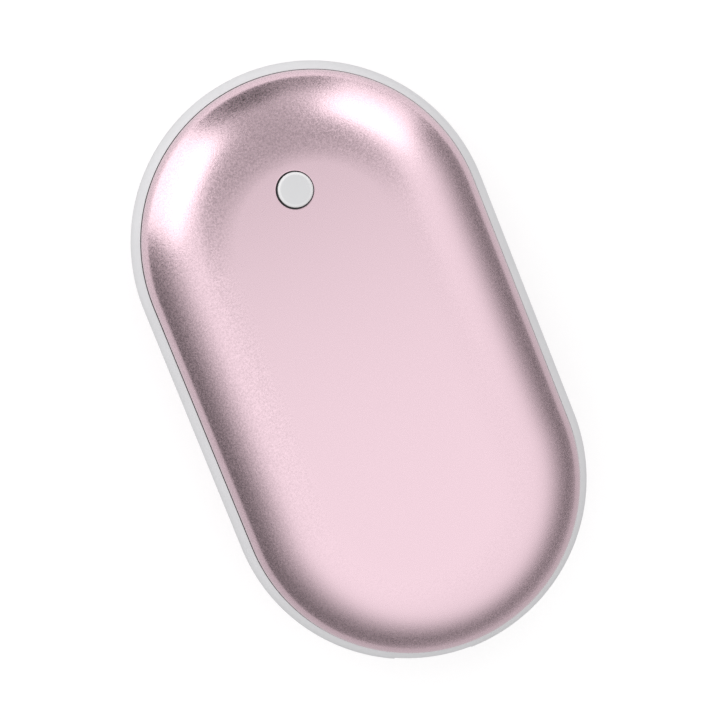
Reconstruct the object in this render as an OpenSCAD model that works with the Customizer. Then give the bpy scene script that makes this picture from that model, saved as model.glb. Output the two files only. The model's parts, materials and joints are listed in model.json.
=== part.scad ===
// Rechargeable hand warmer: two domed aluminium shells on a pale plastic band.
// The origin is on the table below the middle. The button face looks up, the button end is +Y.

/* [Body] */
// Overall length
body_l = 100; // [94:1:116]
// Overall width, measured over the band
body_w = 58.4; // [57:0.2:62]
// Overall thickness, from rear face to front face
body_t = 25; // [24.5:0.25:29]

/* [Shells] */
// Wall of the two aluminium shells
shell_wall = 0.8; // [0.6:0.1:1]
// Half width of the flat part of each face
face_flat_r = 12.2; // [11:0.2:14]
// Angle at which the easy curve beside the flat hands over to the tight edge curve
ease_angle = 40; // [34:1:44]
// Straight height of the shell's rim beside the band
rim_h = 0.5; // [0.3:0.1:0.8]

/* [Band] */
// Height of the band between the two shells
band_h = 7.6; // [7.4:0.2:8.6]
// How far the middle of the band stands proud of the shells
band_proud = 1.9; // [1.4:0.1:2.2]
// Shadow gap between the band and each shell
seam_gap = 0.15; // [0.1:0.05:0.25]
// Thickness of the band's inner ledge
web_t = 1.6; // [1.4:0.1:1.8]
// How far the ledge reaches inwards
web_w = 2.95; // [2.6:0.05:3.1]

/* [Liners] */
// Wall of the liners
liner_wall = 1.2; // [1:0.1:1.3]
// Thickness of the double-sided tape between shell and liner
bond_t = 0.15; // [0.1:0.05:0.2]
// Clearance between a liner's lip and the band
lip_clear = 0.1; // [0.05:0.05:0.15]
// Clearance of loose fits inside the body
loose = 0.3; // [0.2:0.05:0.4]
// Diameter of the posts for the small screws
post_d = 4.4; // [4.2:0.1:4.8]

/* [Button] */
// Distance from the body's centre to the button
button_y = 29.5; // [28.5:0.5:30.5]
// Diameter of the button's cap
button_d = 5.5; // [5:0.1:6.8]
// Radial gap between the cap and the shell's hole
button_gap = 0.2; // [0.15:0.05:0.3]
// How far the shell's hole sits off the cap, to the left
button_off = 0.1; // [0:0.05:0.1]
// How far the cap stands proud of the face
button_proud = 0.4; // [0.35:0.05:0.6]
// Radius of the cap's rounded edge
button_edge_r = 0.5; // [0.3:0.1:0.7]
// Diameter of the flange that traps the button under the shell
flange_d = 8; // [7.8:0.1:8.6]
// Thickness of the flange
flange_t = 0.7; // [0.6:0.05:0.75]
// Diameter of the button's stem
stem_d = 3.2; // [2.8:0.1:3.6]
// Travel of the button
button_travel = 0.3; // [0.2:0.05:0.3]
// Radial clearance of the button in its guides
guide_clear = 0.08; // [0.05:0.01:0.1]

/* [Switch] */
// Width of the square tactile switch
switch_w = 6; // [5.5:0.1:6.5]
// Height of the switch's base, its cover included
switch_h = 2.6; // [2.4:0.1:2.8]
// Height of the plunger above the switch's cover
plunger_h = 0.7; // [0.6:0.05:0.8]
// Diameter of the plunger
plunger_d = 2.6; // [2.2:0.1:3]
// Width of the button board
button_board_w = 22; // [21:0.5:24]
// Length of the button board
button_board_l = 11; // [10.5:0.25:11.5]
// Thickness of the button board
button_board_t = 0.8; // [0.6:0.1:0.9]

/* [Heaters] */
// Thickness of the film heaters
heater_t = 0.3; // [0.2:0.05:0.35]
// Thickness of the foam pads behind the heaters
pad_t = 0.8; // [0.6:0.1:0.9]
// Margin between a heater's edge and the edge of the flat face
heater_margin = 0.8; // [0.6:0.1:1.5]

/* [Battery] */
// Width of the battery cell
battery_w = 41; // [36:0.5:41]
// Length of the battery cell's body
battery_l = 45.5; // [40:0.5:46]
// Thickness of the battery cell
battery_t = 12.5; // [11:0.1:12.6]
// Thickness of the tape below and of the foam above the cell
battery_pad_t = 0.5; // [0.4:0.05:0.6]
// Length of the terrace that carries the protection board
terrace_l = 4; // [3.5:0.1:4.2]

/* [Circuit board] */
// Thickness of the control board
board_t = 1.2; // [1:0.1:1.6]
// Width of the control board
board_w = 40; // [39:0.5:41]
// Length of the control board from its straight edge to the outermost point of its arc
board_l = 17.2; // [16.8:0.1:17.4]

/* [Ports] */
// Sideways place of the output socket
usb_a_x = -6.8; // [-7.4:0.1:-6.6]
// Width, height and length of the output socket's shell
usb_a_size = [13.1, 5.7, 14];
// Sideways place of the charging inlet
micro_x = 5.9; // [5.6:0.1:6.4]
// Width, height and length of the charging inlet's shell
micro_size = [7.5, 2.5, 5.5];
// Sheet thickness of both sockets' shells
socket_wall = 0.3; // [0.25:0.05:0.35]
// Clearance round each socket in the band
port_clear = 0.2; // [0.15:0.05:0.25]
// How far the charging inlet's mouth lies below the band's surface
port_recess = 0.2; // [0.1:0.1:0.5]
// How far the output socket sits below mid height, under the fullest part of the band
usb_a_drop = 0.4; // [0.3:0.05:0.45]
// Width and height of the opening in front of the output socket
usb_a_window = [12.4, 4.9];
// Least thickness of the band in front of the output socket
port_lip = 0.3; // [0.25:0.05:0.5]
// Number of indicator lights
led_count = 4; // [2:1:4]
// Distance between indicator lights
led_pitch = 1.6; // [1.5:0.05:1.65]
// Sideways place of the first indicator light
led_x = 12; // [11.8:0.1:12.4]
// Diameter of the light rods
rod_d = 1.2; // [1:0.05:1.3]

/* [Screws and wires] */
// Shank diameter of the small screws
screw_d = 1.7; // [1.5:0.1:1.9]
// Head diameter of the small screws
head_d = 3.2; // [3:0.1:3.4]
// Head height of the small screws
head_h = 0.9; // [0.8:0.1:1]
// Length of the small screws
screw_l = 5; // [4:0.25:5]
// Diameter of the wires
wire_d = 1; // [0.8:0.05:1.1]

/* [Hidden] */
$fn = 96;
eps = 0.01;
far = 200;

rose = [0.86, 0.73, 0.77];
pale = [0.88, 0.89, 0.9];
liner_grey = [0.25, 0.25, 0.27];
board_green = [0.08, 0.3, 0.16];
steel = [0.75, 0.76, 0.78];
black = [0.08, 0.08, 0.09];
copper = [0.8, 0.5, 0.3];
foam_grey = [0.45, 0.46, 0.48];

// The outline seen from above is a pill: two half circles about (0, end_y) and (0, -end_y)
end_r = body_w / 2;
end_y = (body_l - body_w) / 2;
mid_z = body_t / 2;
rim_r = end_r - band_proud;

// The dome, in radius r from the pill's spine and depth h below the face. An easy arc starts at the
// flat, a tight arc meets the rim upright, and both are tangent where they join.
shell_h = mid_z - band_h / 2 - seam_gap;
dome_run = rim_r - face_flat_r;
dome_rise = shell_h - rim_h;
ease_s = sin(ease_angle);
ease_c = cos(ease_angle);
dome_det = ease_s * ease_c - (1 - ease_s) * (1 - ease_c);
ease_r = (dome_run * ease_c - dome_rise * (1 - ease_s)) / dome_det;
edge_r = (dome_rise * ease_s - dome_run * (1 - ease_c)) / dome_det;
edge_c = [face_flat_r + (ease_r - edge_r) * ease_s, ease_r - (ease_r - edge_r) * ease_c];

// The band's outside is one arc through its two edges and its middle
bulge_r = (pow(band_h / 2, 2) + pow(band_proud, 2)) / (2 * band_proud);
function band_r_at(z) = end_r - bulge_r + sqrt(pow(bulge_r, 2) - pow(z, 2));
// Place on the band's outside, towards the port end, for a point x across and z off the middle
function band_y_at(x, z) = -end_y - sqrt(pow(band_r_at(z), 2) - pow(x, 2));

// Liners, measured inwards from the face
lip_r = rim_r - shell_wall - bond_t;
liner_in = shell_wall + bond_t + liner_wall;
band_in_r = lip_r + lip_clear;
web_r = band_in_r - web_w;
plate_h = shell_wall + heater_t + pad_t;
plate_in = plate_h + liner_wall;
lip_end = mid_z - web_t / 2;
post_root = plate_in - liner_wall / 2;

// Button stack, from the face inwards
flange_gap = 0.05;
flange_z = body_t - shell_wall - flange_gap;
flange_low = flange_z - flange_t;
cup_floor = flange_low - button_travel - 0.1;
cup_d = flange_d + 2 * guide_clear;
cup_outer_d = cup_d + 2.4;
cup_top = body_t - shell_wall - bond_t;
stem_end = body_t - plate_in - 1;
touch_gap = 0.02;
plunger_top = stem_end - touch_gap;
button_board_top = plunger_top - plunger_h - switch_h;
button_board_low = button_board_top - button_board_t;
button_post_x = 8.5;
cover_t = 0.25;
dome_d = 3.6;
dome_sheet = 0.1;

// Battery stack, from the rear liner's plate upwards
battery_low = plate_in + battery_pad_t;
battery_top = battery_low + battery_t;
foam_top = battery_top + battery_pad_t;
terrace_t = 1;
terrace_z = battery_low + battery_t / 2;
cell_board_size = [32, 3.4, 0.8];
cell_board_z = terrace_z + terrace_t / 2;

// Control board. The charging inlet's centre is at mid height.
board_top = mid_z - micro_size[1] / 2;
board_low = board_top - board_t;
board_r = lip_r - liner_wall - 0.5;
board_edge = -end_y - board_r + board_l;
board_tab_w = micro_size[0] + 1.2;
board_post_x = 16.2;
board_post_y = board_edge - 3;
usb_a_z = mid_z - usb_a_drop;
usb_a_pocket_h = usb_a_size[1] + 2 * port_clear;
usb_a_wall_y = port_lip
    + band_y_at(abs(usb_a_x) + usb_a_size[0] / 2 + port_clear, usb_a_pocket_h / 2 + usb_a_drop);
usb_a_mouth = usb_a_wall_y + port_clear / 2;
micro_mouth = band_y_at(abs(micro_x) + micro_size[0] / 2, micro_size[1] / 2) + port_recess;
usb_a_slot_w = usb_a_size[0] + 2 * port_clear;
wing_w = 1.2;
led_size = [1.3, 1, 1.8];
led_y = -end_y - sqrt(pow(board_r, 2) - pow(led_x + (led_count - 1) * led_pitch, 2)) + 0.5;
led_front = led_y - loose;
rod_bar = 1;
hole_play = 0.03;
bay_low = usb_a_pocket_h / 2 + usb_a_drop;
bay_left = usb_a_x - usb_a_slot_w / 2;
bay_right = led_x + (led_count - 1) * led_pitch + rod_d;

// The battery's terrace ends where the leads rise beside the board
lead_gap = 2.25;
battery_start = board_edge + lead_gap + terrace_l;
battery_end = battery_start + battery_l;

// Fasteners
pilot_d = screw_d + 0.02;
shank_hole_d = screw_d + 0.5;
case_screw_x = band_in_r - 3;
case_screw_y = 14;
lug_d = 4.5;
case_head_h = 1.2;

// Snap hooks of the front liner, as places [x, y, turn]
hook_r = web_r - 0.2;
hook_t = 1.2;
hook_w = 4;
nib = 0.7;
nib_clear = 0.1;
hook_angles = [130, 90, 50, -12, -168];

// Deep enough below every named face for a cut to run clear of it
cut = 2;

module pill(r, h) {
    linear_extrude(h) union() {
        translate([0, end_y]) circle(r);
        translate([0, -end_y]) circle(r);
        square([2 * r, 2 * end_y], center = true);
    }
}

// Sweeps a profile, drawn in r and z, round the pill
module pill_sweep() {
    translate([0, end_y, 0]) rotate_extrude(angle = 180) children();
    translate([0, -end_y, 0]) rotate([0, 0, 180]) rotate_extrude(angle = 180) children();
    rotate([90, 0, 0]) linear_extrude(2 * end_y, center = true) {
        children();
        mirror([1, 0]) children();
    }
}

// Turns what is drawn on the rear half over to the front half
module front_half() {
    translate([0, 0, body_t]) mirror([0, 0, 1]) children();
}

// The area under the dome's curve, drawn inwards by inset, from the face down to depth
module dome_area(inset, depth) {
    reach = 2 * ease_r;
    intersection() {
        union() {
            translate([0, inset]) square([face_flat_r, depth]);
            intersection() {
                translate([face_flat_r, ease_r]) circle(ease_r - inset);
                polygon([[face_flat_r, ease_r], [face_flat_r, ease_r - reach],
                    [face_flat_r + reach * ease_s, ease_r - reach * ease_c]]);
            }
            translate(edge_c) circle(edge_r - inset);
            translate([0, edge_c[1]]) square([rim_r - inset, depth]);
        }
        square([far, depth]);
    }
}

module shell_body() {
    pill_sweep() difference() {
        dome_area(0, shell_h);
        dome_area(shell_wall, shell_h + cut);
    }
}

module front_shell() {
    color(rose) difference() {
        front_half() shell_body();
        translate([-button_off, button_y, body_t - shell_wall - cut])
            cylinder(d = button_d + 2 * button_gap, h = shell_wall + 2 * cut);
    }
}

module rear_shell() {
    color(rose) shell_body();
}

module bond_tape() {
    pill_sweep() intersection() {
        difference() {
            dome_area(shell_wall, shell_h);
            dome_area(shell_wall + bond_t, shell_h + cut);
        }
        translate([face_flat_r, plate_h]) square([far, shell_h - plate_h - rim_h]);
    }
}

module front_bond_tape() {
    color("white") front_half() bond_tape();
}

module rear_bond_tape() {
    color("white") bond_tape();
}

module band_profile() {
    difference() {
        intersection() {
            translate([end_r - bulge_r, 0]) circle(bulge_r);
            translate([0, -band_h / 2]) square([far, band_h]);
        }
        translate([0, -band_h]) square([band_in_r, 2 * band_h]);
    }
    translate([web_r, -web_t / 2]) square([web_w + 0.2, web_t]);
}

module mid_band() {
    color(pale) difference() {
        union() {
            translate([0, 0, mid_z]) pill_sweep() band_profile();
            for (sx = [-1, 1], sy = [-1, 1])
                translate([sx * case_screw_x, sy * case_screw_y, mid_z - web_t / 2])
                    cylinder(d = lug_d, h = web_t);
        }
        for (sx = [-1, 1], sy = [-1, 1])
            translate([sx * case_screw_x, sy * case_screw_y, mid_z - cut])
                cylinder(d = shank_hole_d, h = 2 * cut);
        ledge_bay();
        port_cut([usb_a_x, usb_a_z], usb_a_size + 2 * port_clear * [1, 1, 1], usb_a_wall_y);
        port_cut([usb_a_x, usb_a_z], usb_a_window, -body_l / 2 - cut);
        port_cut([micro_x, mid_z], micro_size + 2 * port_clear * [1, 1, 1], -body_l / 2 - cut);
        for (i = [0:led_count - 1])
            translate([led_x + i * led_pitch, led_front, mid_z]) rotate([90, 0, 0])
                cylinder(d = rod_d + 2 * hole_play, h = body_l / 2);
    }
}

// Takes the ledge away behind the ports, and leaves the band's wall
module ledge_bay() {
    intersection() {
        translate([bay_left, -body_l / 2, mid_z - bay_low])
            cube([bay_right - bay_left, body_l / 2 - end_y - web_r / 2, 2 * bay_low]);
        translate([0, 0, mid_z - bay_low]) pill(band_in_r, 2 * bay_low);
    }
}

// A straight opening at a place [x, z], from y inwards
module port_cut(at, size, y) {
    translate([at[0] - size[0] / 2, y, at[1] - size[1] / 2])
        cube([size[0], -y - end_y - web_r / 2, size[1]]);
}

module liner_outer() {
    pill_sweep() intersection() {
        dome_area(shell_wall + bond_t, lip_end);
        translate([0, plate_h]) square([far, lip_end - plate_h]);
    }
}

module liner_inner() {
    pill_sweep() intersection() {
        dome_area(liner_in, lip_end + cut);
        translate([0, plate_in]) square([far, lip_end + cut - plate_in]);
    }
}

// The slot beside the battery through which a heater's wires and its sensor come in
lead_pitch = wire_d + loose;
ntc_size = [1, 1.6, 0.8];
slot_w = 3 * lead_pitch + ntc_size[0] + 2 * loose;
slot_l = 3.4;
slot_x = slot_w / 2;
slot_y = battery_start - slot_l / 2 - loose;
module wire_slot() {
    translate([slot_x - slot_w / 2, slot_y - slot_l / 2, -cut]) cube([slot_w, slot_l, plate_in + 2 * cut]);
}

module liner_tray() {
    difference() {
        liner_outer();
        liner_inner();
    }
}

// What stands on a tray is rooted half way into its wall, so it is cut to this solid
module liner_root(depth) {
    pill_sweep() intersection() {
        dome_area(shell_wall + bond_t + liner_wall / 2, depth);
        translate([0, post_root]) square([far, depth]);
    }
}

// A post close to the wall runs on into it with flat sides
module wall_post(h) {
    linear_extrude(h) {
        circle(d = lug_d);
        translate([0, -lug_d / 2]) square(lug_d);
    }
}

module rear_liner() {
    stop_t = 1;
    cradle_h = battery_t / 3;
    color(liner_grey) difference() {
        union() {
            liner_tray();
            intersection() {
                liner_root(mid_z);
                union() {
                    for (sx = [-1, 1], sy = [-1, 1])
                        translate([sx * case_screw_x, sy * case_screw_y, 0])
                            rotate([0, 0, 90 - 90 * sx]) wall_post(lip_end);
                    for (sx = [-1, 1])
                        translate([sx * board_post_x, board_post_y, 0]) cylinder(d = post_d, h = board_low);
                    for (sx = [-1, 1])
                        translate([sx * (battery_w / 2 + loose + stop_t / 2) - stop_t / 2,
                            battery_start + battery_l * 0.1, 0])
                            cube([stop_t, battery_l * 0.8, post_root + cradle_h]);
                    translate([-battery_w / 3, battery_end + loose, 0])
                        cube([battery_w * 2 / 3, stop_t, post_root + cradle_h]);
                }
            }
        }
        for (sx = [-1, 1], sy = [-1, 1])
            translate([sx * case_screw_x, sy * case_screw_y, lip_end - screw_l])
                cylinder(d = pilot_d, h = screw_l + cut);
        for (sx = [-1, 1])
            translate([sx * board_post_x, board_post_y, board_low - screw_l])
                cylinder(d = pilot_d, h = screw_l + cut);
        ledge_bay();
        wire_slot();
    }
}

module snap_hook() {
    arm_low = mid_z - web_t / 2 - nib_clear - nib;
    translate([hook_r - hook_t, -hook_w / 2, arm_low]) cube([hook_t, hook_w, body_t - arm_low]);
    translate([hook_r - hook_t, -hook_w / 2, arm_low]) cube([hook_t + nib, hook_w, nib]);
}

// Puts its child at every snap hook: round the button end, past the battery and at the sides
module at_hooks() {
    for (a = hook_angles)
        translate([0, sin(a) > 0 ? end_y : -end_y, 0]) rotate([0, 0, a]) children();
    for (a = [0, 180])
        rotate([0, 0, a]) children();
}

module front_liner() {
    rib_t = 1.2;
    rib_l = battery_l * 0.8;
    rib_end = button_y - button_board_l / 2 - rib_t;
    color(liner_grey) difference() {
        union() {
            front_half() liner_tray();
            intersection() {
                front_half() liner_root(body_t);
                union() {
                    at_hooks() snap_hook();
                    for (x = [-battery_w / 4, battery_w / 4])
                        translate([x - rib_t / 2, rib_end - rib_l, foam_top])
                            cube([rib_t, rib_l, body_t - foam_top]);
                    for (sx = [-1, 1])
                        translate([sx * button_post_x, button_y, button_board_top])
                            cylinder(d = post_d, h = body_t - button_board_top);
                }
            }
            intersection() {
                translate([0, button_y, cup_floor - liner_wall])
                    cylinder(d = cup_outer_d, h = cup_top - cup_floor + liner_wall);
                front_half() pill_sweep() dome_area(shell_wall + bond_t, lip_end);
            }
        }
        translate([0, button_y, cup_floor]) cylinder(d = cup_d, h = body_t - cup_floor);
        translate([0, button_y, cup_floor - 2 * cut]) cylinder(d = stem_d + 2 * guide_clear, h = 3 * cut);
        for (sx = [-1, 1])
            translate([sx * button_post_x, button_y, button_board_top - cut])
                cylinder(d = pilot_d, h = screw_l + cut - button_board_t + 0.2);
        ledge_bay();
        front_half() wire_slot();
    }
}

module power_button() {
    cap_top = body_t + button_proud;
    color(pale) translate([0, button_y, 0]) {
        rotate_extrude() difference() {
            translate([0, flange_low]) square([button_d / 2, cap_top - flange_low]);
            translate([button_d / 2 - button_edge_r, cap_top - button_edge_r]) difference() {
                square(button_edge_r + eps);
                circle(button_edge_r);
            }
        }
        translate([0, 0, flange_low]) cylinder(d = flange_d, h = flange_t);
        translate([0, 0, stem_end]) cylinder(d = stem_d, h = flange_low - stem_end + flange_t / 2);
    }
}

module button_board() {
    color(board_green) difference() {
        translate([-button_board_w / 2, button_y - button_board_l / 2, button_board_low])
            cube([button_board_w, button_board_l, button_board_t]);
        for (sx = [-1, 1])
            translate([sx * button_post_x, button_y, button_board_low - cut])
                cylinder(d = shank_hole_d, h = 2 * cut);
    }
}

// A pan head screw with its head's seat at the origin, pointing down
module screw(length, head) {
    difference() {
        union() {
            translate([0, 0, -length]) cylinder(d = screw_d, h = length + head / 2);
            cylinder(d = head_d, h = head);
        }
        for (a = [0, 90])
            rotate([0, 0, a]) translate([-head_d / 3, -head_d / 16, head / 2])
                cube([head_d * 2 / 3, head_d / 8, head]);
    }
}

module button_board_screws() {
    color(steel) for (sx = [-1, 1])
        translate([sx * button_post_x, button_y, button_board_low])
            rotate([180, 0, 0]) screw(screw_l, head_h);
}

module board_screws() {
    color(steel) for (sx = [-1, 1])
        translate([sx * board_post_x, board_post_y, board_top]) screw(screw_l, head_h);
}

module case_screws() {
    color(steel) for (sx = [-1, 1], sy = [-1, 1])
        translate([sx * case_screw_x, sy * case_screw_y, mid_z + web_t / 2]) screw(screw_l, case_head_h);
}

// The switch: a moulded base with a round well, a snap dome in it, a steel cover and the plunger
well_d = dome_d + 0.4;
well_floor = button_board_top + 1;
cover_z = button_board_top + switch_h - cover_t;
plunger_low = well_floor + 0.75;

module switch_base() {
    color(black) translate([0, button_y, button_board_top]) difference() {
        translate([-switch_w / 2, -switch_w / 2, 0]) cube([switch_w, switch_w, switch_h - cover_t]);
        translate([0, 0, well_floor - button_board_top]) cylinder(d = well_d, h = switch_h);
    }
}

module switch_cover() {
    color(steel) translate([0, button_y, cover_z]) difference() {
        translate([-switch_w / 2, -switch_w / 2, 0]) cube([switch_w, switch_w, cover_t]);
        translate([0, 0, -cut]) cylinder(d = plunger_d + 2 * guide_clear, h = 2 * cut);
    }
}

module switch_dome() {
    rise = plunger_low - well_floor - dome_sheet - touch_gap;
    cap_r = (pow(dome_d / 2, 2) + pow(rise, 2)) / (2 * rise);
    color(steel) translate([0, button_y, well_floor + rise - cap_r]) rotate_extrude() intersection() {
        difference() {
            circle(cap_r + dome_sheet);
            circle(cap_r);
        }
        translate([0, cap_r - rise]) square([dome_d, rise + 2 * dome_sheet]);
    }
}

module switch_plunger() {
    color(black) translate([0, button_y, 0]) {
        translate([0, 0, plunger_low]) cylinder(d = plunger_d, h = plunger_top - plunger_low);
        translate([0, 0, plunger_low])
            cylinder(d = well_d - 2 * guide_clear, h = cover_z - plunger_low - touch_gap);
    }
}

heater_r = face_flat_r - heater_margin;

module heat_layer(h, t) {
    translate([0, 0, h]) pill(heater_r, t);
}

// The front heater and its pad stop short of the button's guide
module button_clearance() {
    translate([-body_w / 2, button_y - cup_outer_d / 2 - loose, 0]) cube([body_w, body_l / 2, body_t]);
}

module front_heater() {
    color(copper) difference() {
        front_half() heat_layer(shell_wall, heater_t);
        button_clearance();
    }
}

module rear_heater() {
    color(copper) heat_layer(shell_wall, heater_t);
}

module heat_pad() {
    difference() {
        heat_layer(shell_wall + heater_t, pad_t);
        wire_slot();
    }
}

module front_heat_pad() {
    color(foam_grey) difference() {
        front_half() heat_pad();
        button_clearance();
    }
}

module rear_heat_pad() {
    color(foam_grey) heat_pad();
}

// A small sensor on the heater film, in the wire slot's corner
module thermistor() {
    translate([slot_x + slot_w / 2 - ntc_size[0] - loose, slot_y - ntc_size[1] / 2, shell_wall + heater_t])
        cube(ntc_size);
}

module heater_thermistors() {
    color(black) {
        thermistor();
        front_half() thermistor();
    }
}

// A pouch cell: rounded long sides and a thin sealed terrace at the port end
module battery_cell() {
    side_r = 3;
    color([0.7, 0.71, 0.72]) {
        translate([0, battery_end, 0]) rotate([90, 0, 0]) linear_extrude(battery_l) union() {
            for (sx = [-1, 1], z = [battery_low + side_r, battery_top - side_r])
                translate([sx * (battery_w / 2 - side_r), z]) circle(side_r);
            translate([side_r - battery_w / 2, battery_low]) square([battery_w - 2 * side_r, battery_t]);
            translate([-battery_w / 2, battery_low + side_r]) square([battery_w, battery_t - 2 * side_r]);
        }
        translate([side_r - battery_w / 2, battery_start - terrace_l, terrace_z - terrace_t / 2])
            cube([battery_w - 2 * side_r, terrace_l + eps, terrace_t]);
    }
}

tab_size = [5, terrace_l - 0.5, 0.15];
tab_x = 9;
tab_y = battery_start - terrace_l + loose;
module battery_tabs() {
    color(steel) for (sx = [-1, 1])
        translate([sx * tab_x - tab_size[0] / 2, tab_y, cell_board_z]) cube(tab_size);
}

// The protection board lies on the terrace over the tabs
cell_board_low = cell_board_z + tab_size[2];
module battery_board() {
    color(board_green) translate([-cell_board_size[0] / 2, tab_y, cell_board_low])
        cube(cell_board_size);
}

cell_chip_size = [3, 2, 1];
module battery_board_chips() {
    color(black) for (x = [-4.5, 0, 4.5])
        translate([x - cell_chip_size[0] / 2, tab_y + (cell_board_size[1] - cell_chip_size[1]) / 2,
            cell_board_low + cell_board_size[2]])
            cube(cell_chip_size);
}

module battery_tape() {
    color("white") translate([-battery_w / 3, battery_start + 4, plate_in])
        cube([battery_w * 2 / 3, battery_l - 8, battery_pad_t]);
}

module battery_foam() {
    color(foam_grey) translate([-battery_w / 3, battery_start + 4, battery_top])
        cube([battery_w * 2 / 3, battery_l - 8, battery_pad_t]);
}

// The board's outer edge follows the liner, and a tab reaches out under the charging inlet
module control_board() {
    color(board_green) translate([0, 0, board_low]) difference() {
        linear_extrude(board_t) intersection() {
            union() {
                translate([0, -end_y]) circle(board_r);
                intersection() {
                    translate([0, -end_y]) circle(band_in_r - loose);
                    translate([micro_x - board_tab_w / 2, -body_l / 2]) square([board_tab_w, body_l / 4]);
                }
            }
            translate([-board_w / 2, -body_l]) square([board_w, body_l + board_edge]);
        }
        translate([usb_a_x - usb_a_slot_w / 2, -body_l / 2, -cut])
            cube([usb_a_slot_w, body_l / 2 + usb_a_mouth + usb_a_size[2] + port_clear, board_t + 2 * cut]);
        for (sx = [-1, 1])
            translate([sx * board_post_x, board_post_y, -cut])
                cylinder(d = shank_hole_d, h = board_t + 2 * cut);
    }
}

// A socket's folded steel shell with its mouth at the origin, open towards -Y
module socket_shell(size) {
    difference() {
        translate([-size[0] / 2, 0, -size[1] / 2]) cube([size[0], size[2], size[1]]);
        translate([socket_wall - size[0] / 2, -cut, socket_wall - size[1] / 2])
            cube([size[0] - 2 * socket_wall, size[2] - socket_wall + cut, size[1] - 2 * socket_wall]);
    }
}

module usb_a_shell() {
    color(steel) translate([usb_a_x, usb_a_mouth, usb_a_z]) {
        socket_shell(usb_a_size);
        for (sx = [-1, 1])
            translate([sx * (usb_a_size[0] + wing_w) / 2 - wing_w / 2 - eps, usb_a_size[2] - 6,
                board_top - usb_a_z])
                cube([wing_w + 2 * eps, 5, socket_wall]);
    }
}

// Sizes of the two sockets' tongues, contacts and the plastic blocks that carry the tongues
usb_a_tongue_size = [11.1, 1.84];
usb_a_tongue_z = 0.06;
usb_a_block_l = 4.4;
usb_a_tip = 1;
micro_tongue_size = [4, 0.6];
micro_tongue_z = 0;
micro_block_l = 1.6;
micro_tip = 0.8;

module socket_tongue(size, tongue, tongue_z, block_l, tip) {
    inner_w = size[0] - 2 * socket_wall;
    inner_h = size[1] - 2 * socket_wall;
    back = size[2] - socket_wall;
    translate([-inner_w / 2, back - block_l, -inner_h / 2]) cube([inner_w, block_l, inner_h]);
    translate([-tongue[0] / 2, tip, tongue_z]) cube([tongue[0], back - tip - block_l / 2, tongue[1]]);
}

module usb_a_tongue() {
    color("white") translate([usb_a_x, usb_a_mouth, usb_a_z])
        socket_tongue(usb_a_size, usb_a_tongue_size, usb_a_tongue_z, usb_a_block_l, usb_a_tip);
}

module socket_contacts(size, tongue_z, block_l, tip, count, pitch, width, sheet) {
    for (i = [0:count - 1])
        translate([(i - (count - 1) / 2) * pitch - width / 2, tip + 0.6, tongue_z - sheet])
            cube([width, size[2] - socket_wall - block_l - tip - 0.6, sheet]);
}

module usb_a_contacts() {
    color("gold") translate([usb_a_x, usb_a_mouth, usb_a_z])
        socket_contacts(usb_a_size, usb_a_tongue_z, usb_a_block_l, usb_a_tip, 4, 2.3, 1.1, 0.2);
}

module micro_usb_shell() {
    color(steel) translate([micro_x, micro_mouth, mid_z]) socket_shell(micro_size);
}

module micro_usb_tongue() {
    color(black) translate([micro_x, micro_mouth, mid_z])
        socket_tongue(micro_size, micro_tongue_size, micro_tongue_z, micro_block_l, micro_tip);
}

module micro_usb_contacts() {
    color("gold") translate([micro_x, micro_mouth, mid_z])
        socket_contacts(micro_size, micro_tongue_z, micro_block_l, micro_tip, 5, 0.65, 0.35, 0.1);
}

module indicator_leds() {
    color("ivory") for (i = [0:led_count - 1])
        translate([led_x + i * led_pitch - led_size[0] / 2, led_y, board_top]) cube(led_size);
}

// Four clear rods on one bar. Each rod ends just below the band's curved surface.
module light_pipe() {
    bar_y = led_front - 2 * rod_bar;
    color([0.9, 0.95, 1, 0.6]) {
        for (i = [0:led_count - 1]) {
            x = led_x + i * led_pitch;
            translate([x, led_front, mid_z]) rotate([90, 0, 0])
                cylinder(d = rod_d, h = led_front - band_y_at(x + rod_d / 2, rod_d / 2));
        }
        translate([led_x - rod_d / 2, bar_y, mid_z - rod_bar / 2])
            cube([(led_count - 1) * led_pitch + rod_d, rod_bar, rod_bar]);
    }
}

// Parts on the control board, each as [x, y] of its middle behind the charging inlet
inductor_at = [6.4, board_edge - 9.4];
power_chip_at = [3.8, board_edge - 2.6];
control_chip_at = [8.6, board_edge - 3.2];
capacitor_at = [11, board_edge - 4.1];
resistor_at = [10.9, board_edge - 1.2];
heater_joint_at = [11, board_edge - 6.9];

module on_board(at, size) {
    translate([at[0] - size[0] / 2, at[1] - size[1] / 2, board_top]) cube(size);
}

module boost_inductor() {
    core_d = 5.4;
    color([0.3, 0.3, 0.32]) {
        on_board(inductor_at, [6, 6, 0.6]);
        translate([inductor_at[0], inductor_at[1], board_top]) cylinder(d = core_d, h = 3);
        translate([inductor_at[0], inductor_at[1], board_top + 2.4]) cylinder(d = 6, h = 0.8);
    }
}

module power_chip() {
    color(black) on_board(power_chip_at, [5, 4, 1.5]);
}

module control_chip() {
    color(black) on_board(control_chip_at, [3, 3, 0.9]);
}

module board_capacitors() {
    color([0.7, 0.6, 0.45]) for (i = [0, 1])
        on_board(capacitor_at + [i * 1.9, 0], [1.6, 2.6, 1.4]);
}

module board_resistors() {
    color(black) for (i = [0:2])
        on_board(resistor_at + [i * 1.1, 0], [0.8, 1.6, 0.5]);
}

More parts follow.
